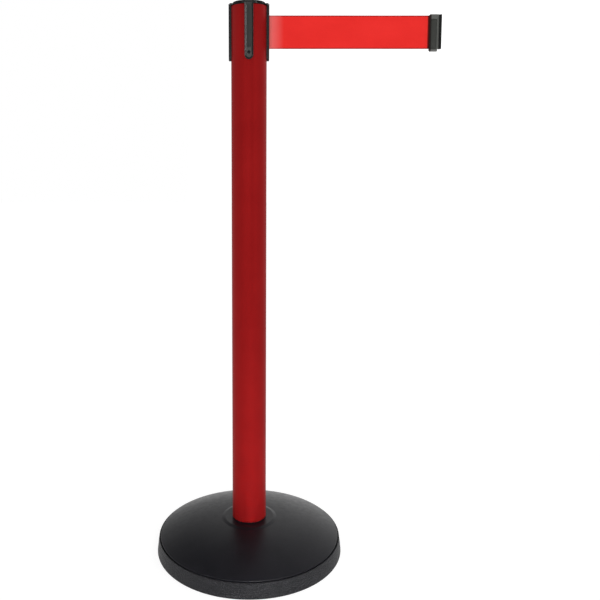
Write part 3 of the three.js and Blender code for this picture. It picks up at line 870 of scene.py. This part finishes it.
def cap_screw():
    """A countersunk socket screw down into the axle."""
    shank, head = 1.75, 4.4
    tip = CAP_TOP - 10
    profile = rounded([(0, tip), (shank, tip, 0.4), (shank, CAP_TOP - 2.9), (head, CAP_TOP - 0.4),
                       (head, CAP_TOP - 0.15, 0.1), (0, CAP_TOP)], closed=False)
    screw = turned("countersunk_screw", profile, COARSE)
    levels = [(CAP_TOP - 1.7, 0), (CAP_TOP - 0.3, 0), (CAP_TOP + 0.7, -0.6)]
    return cut(screw, prism("socket", hexagon(1.5), levels, along_z))


install(head_cap(), "post", "top_cap", BLACK)
install(cap_screw(), "post", "cap_screw", STEEL)


# ------------------------------------------------------------------ belt and power spring
BELT_THICKNESS = 0.5
BELT_EDGE_THICKNESS = 0.72
SELVEDGE = 1.5  # width of the thicker woven edge
RIPPLE = 0.22  # how far the drawn-out belt strays from its plane
CLIP_SHADOW_START = CLIP_START - 3.4  # where the clip's painted shadow on the belt begins

DRUM_RADIUS = 9.3
WOUND_PITCH = 0.46  # the roll holds the 2 m of webbing that can still be drawn out
WOUND_THICKNESS = 0.36
WOUND_EDGE_THICKNESS = 0.41

SPRING_INNER = 4.9  # just clear of the axle that its inner end is hooked into
SPRING_PITCH = 0.9
SPRING_THICKNESS = 0.3


def upright_strip(name, path, low, high, thickness, edge_thickness, rows):
    """A strip on edge that follows [x, y] points seen from above, as a closed thin solid.

    A woven strip is thicker along its two edges, and rows is how finely its height is divided.
    """
    heights = np.linspace(low + SELVEDGE, high - SELVEDGE, rows)
    edge = [0.0, 0.12, 0.45, 0.85, SELVEDGE]
    bulge = [0.0, 0.62, 1.0, 1.0, 0.0]
    lower = [(low + e, (edge_thickness * b if e < SELVEDGE else thickness) / 2)
             for e, b in zip(edge, bulge)]
    upper = [(high - (z - low), half) for z, half in reversed(lower)]
    side = lower + [(z, thickness / 2) for z in heights[1:-1]] + upper
    loop = side + [(z, -half) for z, half in reversed(side[1:-1])]
    points = []
    for i, (x, y) in enumerate(path):
        before, after = path[max(i - 1, 0)], path[min(i + 1, len(path) - 1)]
        length = math.hypot(after[0] - before[0], after[1] - before[1])
        normal = (-(after[1] - before[1]) / length, (after[0] - before[0]) / length)
        points.extend((x + normal[0] * off, y + normal[1] * off, z) for z, off in loop)
    count = len(loop)
    faces = [list(range(count)), list(range(len(points) - count, len(points)))]
    for start in range(0, len(points) - count, count):
        for i in range(count):
            j = (i + 1) % count
            faces.append([start + i, start + j, start + count + j, start + count + i])
    return make(name, points, faces)


def paint_clip_shadow(belt):
    """Paints the shadow that the clip casts on the webbing beside it, as a vertex attribute that moves
    with the belt.
    """
    fade = 1.2
    shades = [0.93 * min(max((vertex.co.x / MM - CLIP_SHADOW_START) / fade, 0), 1)
              for vertex in belt.data.vertices]
    belt.data.attributes.new("clip_shadow", "FLOAT", "POINT").data.foreach_set("value", shades)


def belt_path():
    """From a tangent of the roll, round the throat and straight out to the clip."""
    roll = span("belt_roll", X)[1] + 0.3 + BELT_THICKNESS / 2
    bend = (28.5, 0.9)
    angle = math.atan2(bend[1], bend[0]) + math.acos(roll / math.hypot(*bend))
    start = (roll * math.cos(angle), roll * math.sin(angle))
    inside = rounded([start, (*bend, 6), (31.5, 0, 20), (36, 0)], closed=False)[:-1]
    outside = [(x, 0.0) for x in np.linspace(RAIL_FACE - 2, CLIP_START - 4, 150)]
    outside += [(x, 0.0) for x in np.linspace(CLIP_SHADOW_START, BELT_END, 16)]
    return inside + outside


def ripple(belt):
    """Lets the free part of the belt wave very slightly, more at its edges than in its middle."""
    middle, half = (BELT_LOW + BELT_HIGH) / 2, (BELT_HIGH - BELT_LOW) / 2
    first, last = RAIL_FACE + 4, CLIP_START - 4
    for vertex in belt.data.vertices:
        x, z = vertex.co.x / MM, vertex.co.z / MM
        share = (x - first) / (last - first)
        if not 0 < share < 1:
            continue
        off = (z - middle) / half
        wave = math.sin(share * 3 * math.pi + 0.9 * off) * (0.5 + 0.5 * off * off)
        vertex.co.y += RIPPLE * wave * math.sin(math.pi * share) * MM


def spiral(inner, outer, pitch, per_turn=40):
    """A flat spiral from one radius out to another, as [x, y] points."""
    turns = (outer - inner) / pitch
    count = int(turns * per_turn)
    path = []
    for i in range(count + 1):
        angle = 2 * math.pi * turns * i / count
        radius = inner + pitch * angle / (2 * math.pi)
        path.append((radius * math.cos(angle), radius * math.sin(angle)))
    return path


drawn = belt_path()
belt = upright_strip("belt", drawn, BELT_LOW, BELT_HIGH, BELT_THICKNESS, BELT_EDGE_THICKNESS, 20)
ripple(belt)
paint_clip_shadow(belt)
install(belt, None, "belt_web", WEBBING, sharp=STRIP_SHARP_ANGLE)
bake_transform(belt)

wound = spiral(DRUM_RADIUS, span("belt_roll", X)[1] - BELT_THICKNESS / 2, WOUND_PITCH)
roll = upright_strip("wound_belt", wound, BELT_LOW, BELT_HIGH, WOUND_THICKNESS,
                     WOUND_EDGE_THICKNESS, 4)
install(roll, "spool", "belt_roll", WEBBING, sharp=STRIP_SHARP_ANGLE)

coil = spiral(SPRING_INNER, span("power_spring", X)[1] - SPRING_THICKNESS, SPRING_PITCH)
spring = upright_strip("power_spring_coil", coil, *span("power_spring", Z), SPRING_THICKNESS,
                       SPRING_THICKNESS, 4)
install(spring, "spool", "power_spring", BLUED, sharp=STRIP_SHARP_ANGLE)


# ------------------------------------------------------------------ end clip
def clip_shell():
    """The clip's body, a taper down to its neck, and the head of the T along its outer edge."""
    neck_end = CLIP_TIP - T_THICKNESS
    plan = rounded([
        (CLIP_START, -CLIP_HALF, 1.7),
        (CLIP_TIP - 8.3, -CLIP_HALF),
        (neck_end - 0.7, -T_NECK_HALF, 0.5),
        (CLIP_TIP - 2, -T_NECK_HALF),
        (CLIP_TIP - 2, T_NECK_HALF),
        (neck_end - 0.7, T_NECK_HALF, 0.5),
        (CLIP_TIP - 8.3, CLIP_HALF),
        (CLIP_START, CLIP_HALF, 1.7),
    ])
    shell = prism("clip_shell", plan,
                  [(CLIP_LOW, 1.5), (CLIP_LOW + 0.3, 1.1), (CLIP_LOW + 1.9, 0),
                   *ease_end(CLIP_HIGH, 0.9)], along_z)
    cut(shell, block("foot_cut", (CLIP_TIP - 7.1, CLIP_TIP + 9), (-10, 10), (CLIP_LOW - 1, T_FOOT)))
    head = rounded([(neck_end, -T_HALF), (CLIP_TIP, -T_HALF, 1.2), (CLIP_TIP, T_HALF, 1.2),
                    (neck_end, T_HALF)])
    join(shell, prism("head", head, [*ease_start(T_FOOT, 0.6), *ease_end(CLIP_HIGH - 0.2, 0.9)],
                      along_z))
    half, low, high = 0.6, BELT_LOW - 0.4, BELT_HIGH + 0.4
    belt_slot = [(-half, low), (half, low), (half, high), (-half, high)]
    slot = prism("belt_slot", belt_slot, [(-PIN_X - 1.2, 0), (-CLIP_START - 0.6, 0),
                                          (-CLIP_START + 0.1, -0.6), (-CLIP_START + 1, -0.6)],
                 lambda across, height, level: (-level, across, height))
    pocket = rounded_box(PANEL_X, PANEL_Z, -0.2, 0.8)
    pocket_floor = half + 0.02
    front = prism("pocket", pocket, [(pocket_floor, 0), *bevel_mouth(CLIP_HALF, 0.5, 0.5)],
                  along_front)
    sink = prism("sink", pocket, [(-CLIP_HALF - 1, -1), (-CLIP_HALF + 0.5, 0.3)], along_front)
    return cut(shell, slot, front, sink)


def clip_panel():
    """The cover in the clip's face, with a small blank raised field near its foot."""
    front, back = -PANEL_FACE, -span("clip_cover", Y)[1]
    panel = prism("clip_panel", rounded_box(PANEL_X, PANEL_Z, 0.1, 0.7),
                  [(back, 0), *ease_end(front, 0.35)], along_front)
    side_margin, foot_margin, height = 1.6, 2.2, 12.0
    low = PANEL_Z[0] + foot_margin
    across = (PANEL_X[0] + side_margin, PANEL_X[1] - side_margin)
    field = prism("field", rounded_box(across, (low, low + height), 0, 0.6),
                  [(front - 0.5, 0), *ease_end(front + 0.25, 0.2)], along_front)
    return join(panel, field)


install(clip_shell(), "belt_end", "clip_body", CLIP_GREY)
install(clip_panel(), "belt_end", "clip_cover", GREY)


# ------------------------------------------------------------------ CAD nodes that stay
KEPT = {
    RUBBER: ["bolt_cover_plug"],
    IRON: ["base_weight", "foot_insert"],
    STEEL: ["anchor_bolt", "flat_washer", "spool_axle", "belt_pin"],
    BLUED: ["spring_washer"],
    GREY: ["head_core", "cassette_shell", "spool_drum", "spring_cover"],
    NYLON: ["thrust_washer", "lower_bush", "upper_bush"],
}
for kept_material, names in KEPT.items():
    for name in names:
        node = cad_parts[name]
        node.data.materials.clear()
        node.data.materials.append(kept_material)


# ------------------------------------------------------------------ floor, light and camera
def studio_floor():
    """A plain pale floor, bright enough to run into the white backdrop."""
    side, level = 9.0, -0.0003
    mesh = bpy.data.meshes.new("studio_floor")
    corners = [(-side, -side, level), (side, -side, level), (side, side, level), (-side, side, level)]
    mesh.from_pydata(corners, [], [(0, 1, 2, 3)])
    floor = bpy.data.objects.new("studio_floor", mesh)
    bpy.context.scene.collection.objects.link(floor)
    look = Finish("pale_floor", specular=0.1)
    look.colour(look.mix(look.spread(look.noise(300, detail=3), 0, 1), (0.29, 0.29, 0.29),
                         (0.32, 0.32, 0.32)))
    look.roughness(look.spread(look.noise(80), 0.75, 0.85))
    look.shader.inputs["Emission Color"].default_value = (1, 1, 1, 1)
    look.shader.inputs["Emission Strength"].default_value = 0.82
    mesh.materials.append(look.material)


def soft_box(name, place, aim, size, power, spread=180):
    """A rectangular light: width and height in metres, power in watts, spread in degrees."""
    data = bpy.data.lights.new(name, "AREA")
    data.spread = math.radians(spread)
    data.shape = "RECTANGLE"
    data.size, data.size_y = size
    data.energy = power
    light = bpy.data.objects.new(name, data)
    light.location = place
    light.rotation_euler = (Vector(aim) - Vector(place)).to_track_quat("-Z", "Y").to_euler()
    bpy.context.scene.collection.objects.link(light)


def studio_world():
    """White all round at eye level, softer overhead, with a dim room on the -Y side.

    The far side is a little brighter towards +X. Wherever the backdrop is seen directly, it is white.
    """
    world = bpy.data.worlds.new("studio")
    bpy.context.scene.world = world
    world.use_nodes = True
    tree = world.node_tree

    def ranged(value, *numbers):
        node = tree.nodes.new("ShaderNodeMapRange")
        for socket, number in zip(node.inputs[1:5], numbers):
            socket.default_value = number
        tree.links.new(value, node.inputs[0])
        return node.outputs[0]

    def combined(operation, first, second):
        node = tree.nodes.new("ShaderNodeMath")
        node.operation = operation
        tree.links.new(first, node.inputs[0])
        tree.links.new(second, node.inputs[1])
        return node.outputs[0]

    direction = tree.nodes.new("ShaderNodeTexCoord").outputs["Generated"]
    axes = tree.nodes.new("ShaderNodeSeparateXYZ")
    tree.links.new(direction, axes.inputs[0])
    ceiling = ranged(axes.outputs[2], 0.3, 0.8, 1.0, 0.45)
    room = ranged(axes.outputs[1], -0.78, -0.54, 0.3, 1.0)
    behind = ranged(axes.outputs[1], 0.0, 0.3, 0.0, 1.0)
    glow = combined("MULTIPLY", behind, ranged(axes.outputs[0], -0.3, 0.15, -0.27, 0.3))
    seen = tree.nodes.new("ShaderNodeLightPath").outputs["Is Camera Ray"]
    strength = combined("ADD", combined("MINIMUM", ceiling, room), glow)
    strength = combined("MAXIMUM", strength, seen)
    background = tree.nodes["Background"]
    background.inputs["Color"].default_value = (1, 1, 1, 1)
    tree.links.new(strength, background.inputs["Strength"])


def camera():
    """A view from the front at three quarters of the post's height, fitted to its outlines."""
    tilt = math.radians(6.74)
    data = bpy.data.cameras.new("camera")
    data.sensor_width = 36
    data.lens = 44.1
    data.shift_x = 0.0796
    data.shift_y = -0.108
    eye = bpy.data.objects.new("camera", data)
    eye.location = (0.0058, -1.339, 0.760)
    eye.rotation_euler = (math.pi / 2 - tilt, 0, 0)
    bpy.context.scene.collection.objects.link(eye)
    bpy.context.scene.camera = eye


studio_floor()
studio_world()
soft_box("right_key", (1.35, -1.61, 0.75), (0, 0, 0.5), (0.08, 1.7), 5.5)
soft_box("left_key", (-0.96, -1.98, 0.7), (0, 0, 0.5), (0.45, 1.6), 5.5)
soft_box("front_strip", (0.0, -2.3, 0.72), (0, 0, 0.62), (0.1, 0.8), 5.5)
soft_box("low_fill", (0.42, -1.95, 0.30), (0.02, -0.1, -0.03), (0.7, 0.4), 1.0, spread=27)
camera()
bpy.context.scene.view_settings.view_transform = "Standard"
